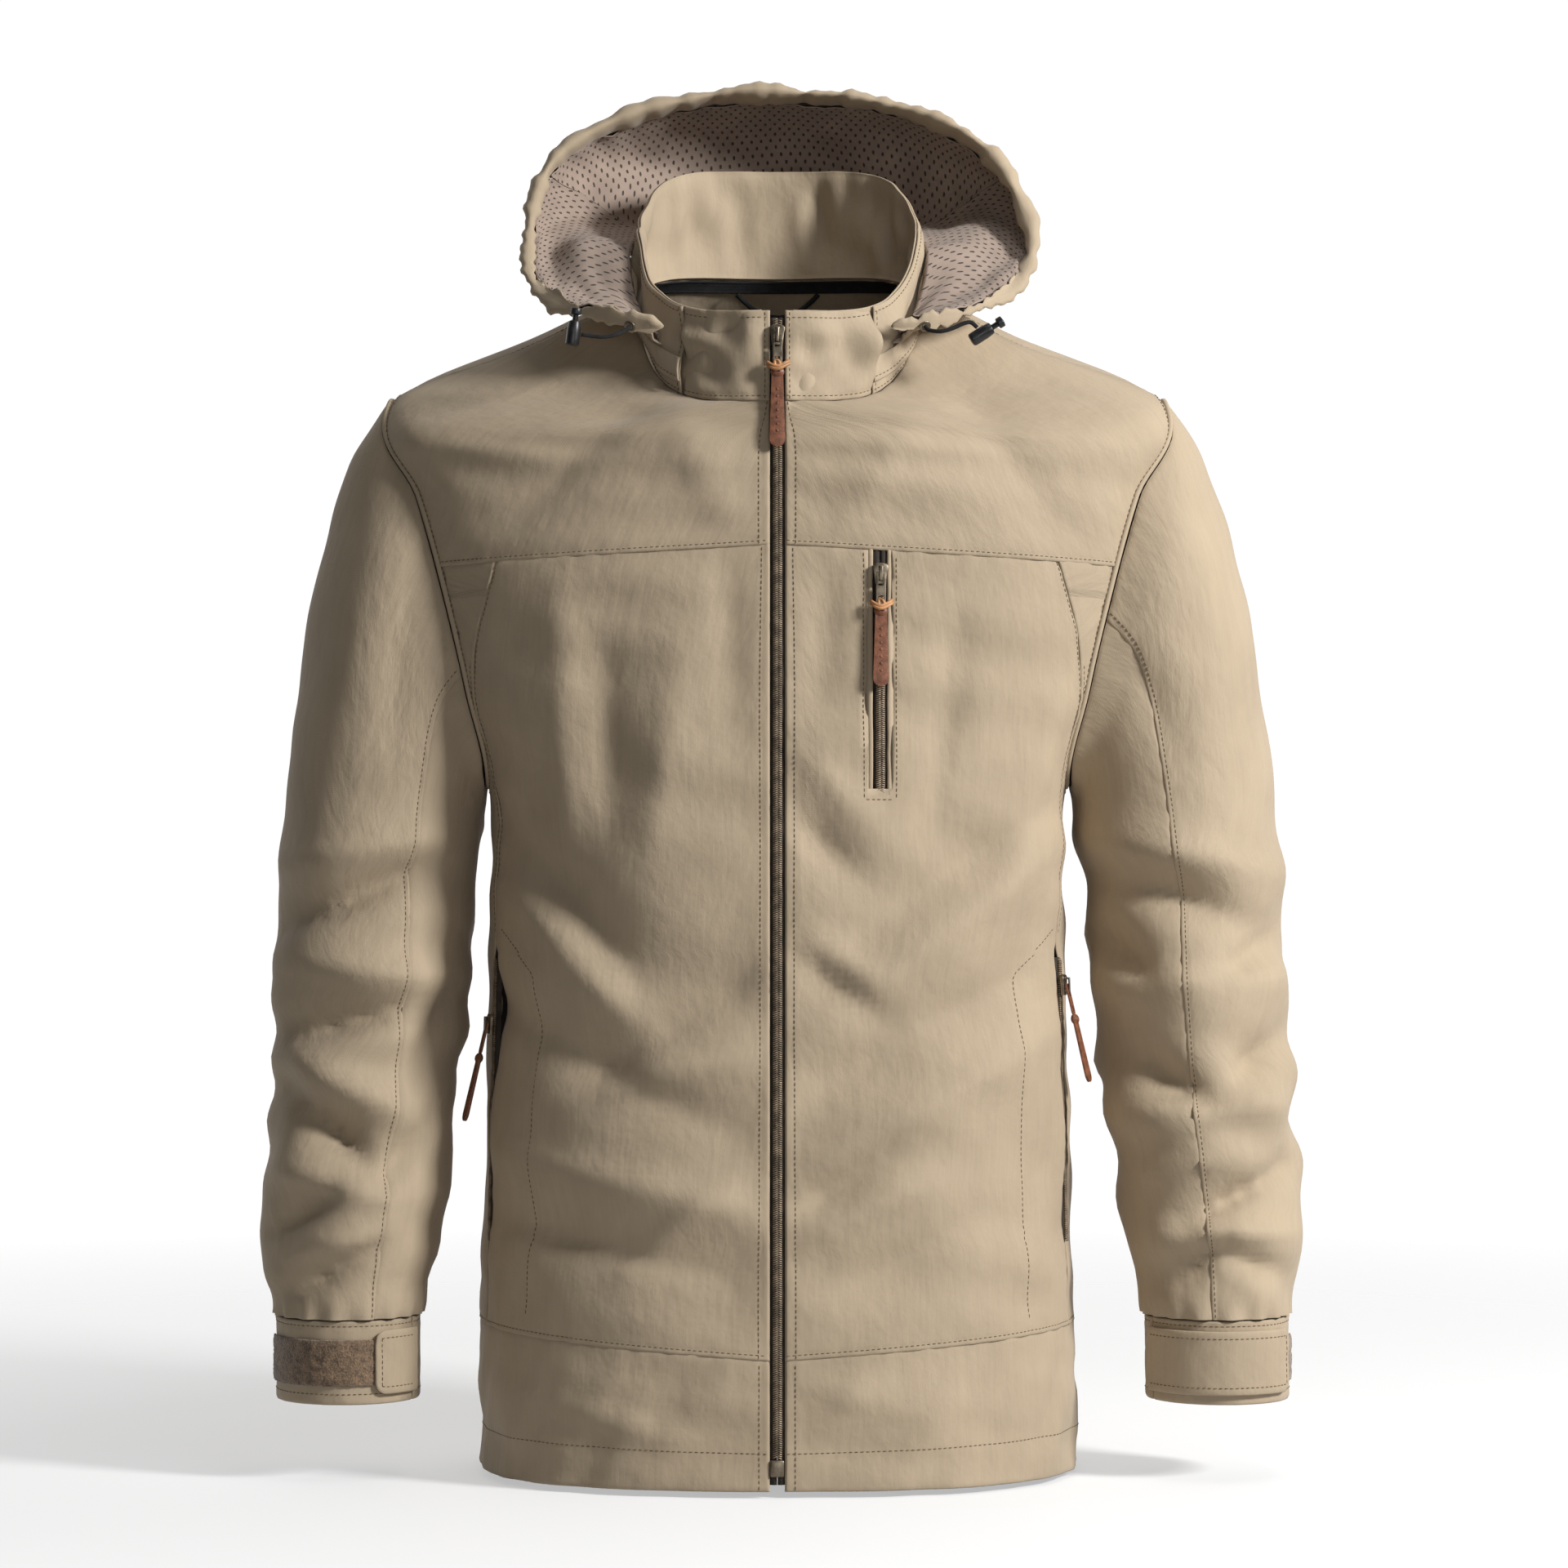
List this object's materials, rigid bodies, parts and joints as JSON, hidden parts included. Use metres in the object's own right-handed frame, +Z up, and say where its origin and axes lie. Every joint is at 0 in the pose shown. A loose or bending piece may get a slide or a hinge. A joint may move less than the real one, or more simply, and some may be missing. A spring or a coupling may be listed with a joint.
{
  "type": "hooded zip jacket",
  "caption": "Light hooded jacket with a full-length front zip, zipped chest and side pockets, cuff tabs and drawcord hood.",
  "frame": {"origin": "centre of the neck opening, at the height where the shoulder ridges meet the collar", "axes": "+Z up along the body, +X to the wearer's left, front zip facing -Y"},
  "size_m": [0.6429, 0.2709, 0.8652],
  "materials": {
    "shell_fabric": "matte, fine weave",
    "mesh_lining": "matte perforated mesh",
    "black_tape": "matte twill",
    "black_cord": "matte braid",
    "black_plastic": "satin",
    "leather": "semi-gloss",
    "zip_metal": "dark burnished",
    "zip_coil": "satin coil on woven tape",
    "loop_pile": "fuzzy"
  },
  "bodies": {
    "shell": {"back_yoke": "shell_fabric", "back_panel": "shell_fabric", "hem_band_back": "shell_fabric", "collar_back": "shell_fabric", "collar_facing": "shell_fabric", "hood_band": "shell_fabric", "neck_tape": "black_tape", "hanger_loop": "black_tape", "front_yoke_left": "shell_fabric", "front_panel_left": "shell_fabric", "side_panel_left": "shell_fabric", "hem_band_left": "shell_fabric", "collar_front_left": "shell_fabric", "pocket_zip_left": "zip_coil", "pocket_bag_left": "mesh_lining", "front_yoke_right": "shell_fabric", "front_panel_right": "shell_fabric", "side_panel_right": "shell_fabric", "hem_band_right": "shell_fabric", "collar_front_right": "shell_fabric", "pocket_zip_right": "zip_coil", "pocket_bag_right": "mesh_lining", "main_zip_left": "zip_coil", "main_zip_right": "zip_coil", "main_zip_box": "zip_metal", "chest_zip": "zip_coil", "chest_pocket_bag": "mesh_lining"},
    "hood": {"hood_right": "shell_fabric", "hood_lining_right": "mesh_lining", "hood_center": "shell_fabric", "hood_lining_center": "mesh_lining", "hood_left": "shell_fabric", "hood_lining_left": "mesh_lining", "hood_brim": "shell_fabric", "cord_lock_left": "black_plastic", "drawcord_left": "black_cord", "cord_lock_right": "black_plastic", "drawcord_right": "black_cord"},
    "sleeve_left": {"sleeve_upper_left": "shell_fabric", "sleeve_under_left": "shell_fabric", "cuff_band_left": "shell_fabric", "cuff_patch_left": "loop_pile"},
    "cuff_tab_left": {"cuff_tab_left": "shell_fabric"},
    "pocket_slider_left": {"pocket_zip_left_slider": "zip_metal"},
    "pocket_pull_left": {"pocket_zip_left_pull": "leather"},
    "sleeve_right": {"sleeve_upper_right": "shell_fabric", "sleeve_under_right": "shell_fabric", "cuff_band_right": "shell_fabric", "cuff_patch_right": "loop_pile"},
    "cuff_tab_right": {"cuff_tab_right": "shell_fabric"},
    "pocket_slider_right": {"pocket_zip_right_slider": "zip_metal"},
    "pocket_pull_right": {"pocket_zip_right_pull": "leather"},
    "main_slider": {"main_zip_slider": "zip_metal"},
    "main_pull": {"main_zip_puller": "zip_metal", "main_zip_strap": "leather"},
    "chest_slider": {"chest_zip_slider": "zip_metal"},
    "chest_pull": {"chest_zip_puller": "zip_metal", "chest_zip_strap": "leather"},
    "cord_button_left": {"cord_button_left": "black_plastic"},
    "cord_button_right": {"cord_button_right": "black_plastic"}
  },
  "joints": [
    {"name": "main_zip_slide", "type": "slide", "parent": "shell", "child": "main_slider", "axis": [0, 0.0679, 0.9977], "range_m": [-0.66, 0]},
    {"name": "main_pull_swing", "type": "hinge", "parent": "main_slider", "child": "main_pull", "pos_m": [0, -0.09709, -0.03471], "axis": [-1, 0, 0], "range_deg": [0, 150]},
    {"name": "chest_zip_slide", "type": "slide", "parent": "shell", "child": "chest_slider", "axis": [0, 0.055, 0.9985], "range_m": [-0.125, 0]},
    {"name": "chest_pull_swing", "type": "hinge", "parent": "chest_slider", "child": "chest_pull", "pos_m": [0.06243, -0.10491, -0.17947], "axis": [-0.995, -0.0998, 0.0055], "range_deg": [0, 150]},
    {"name": "pocket_zip_slide_left", "type": "slide", "parent": "shell", "child": "pocket_slider_left", "axis": [-0.0238, 0.0344, 0.9991], "range_m": [-0.15, 0.009]},
    {"name": "pocket_pull_swing_left", "type": "hinge", "parent": "pocket_slider_left", "child": "pocket_pull_left", "pos_m": [0.17824, -0.04237, -0.43], "axis": [-0.3171, -0.9481, 0.0251], "range_deg": [-8, 16]},
    {"name": "pocket_zip_slide_right", "type": "slide", "parent": "shell", "child": "pocket_slider_right", "axis": [0.0238, 0.0344, 0.9991], "range_m": [-0.126, 0.033]},
    {"name": "pocket_pull_swing_right", "type": "hinge", "parent": "pocket_slider_right", "child": "pocket_pull_right", "pos_m": [-0.17881, -0.0432, -0.45398], "axis": [-0.3171, 0.9481, -0.0251], "range_deg": [-8, 16]},
    {"name": "sleeve_swing_left", "type": "hinge", "parent": "shell", "child": "sleeve_left", "pos_m": [0.2422, 0, -0.068], "axis": [0, -1, 0], "range_deg": [0, 45]},
    {"name": "cuff_tab_swing_left", "type": "hinge", "parent": "sleeve_left", "child": "cuff_tab_left", "pos_m": [0.22672, -0.05533, -0.6581], "axis": [0, 0, -1], "range_deg": [0, 75]},
    {"name": "sleeve_swing_right", "type": "hinge", "parent": "shell", "child": "sleeve_right", "pos_m": [-0.2422, 0, -0.068], "axis": [0, 1, 0], "range_deg": [0, 45]},
    {"name": "cuff_tab_swing_right", "type": "hinge", "parent": "sleeve_right", "child": "cuff_tab_right", "pos_m": [-0.22046, -0.05533, -0.6581], "axis": [0, 0, 1], "range_deg": [0, 75]},
    {"name": "hood_fold", "type": "hinge", "parent": "shell", "child": "hood", "pos_m": [0, 0.0835, 0.0405], "axis": [-1, 0, 0], "range_deg": [0, 35]},
    {"name": "cord_button_press_left", "type": "slide", "parent": "hood", "child": "cord_button_left", "axis": [-0.848, 0, -0.5299], "range_m": [0, 0.0036], "stiffness_N_per_m": 300},
    {"name": "cord_button_press_right", "type": "slide", "parent": "hood", "child": "cord_button_right", "axis": [-0.1219, 0, -0.9925], "range_m": [0, 0.0036], "stiffness_N_per_m": 300}
  ]
}
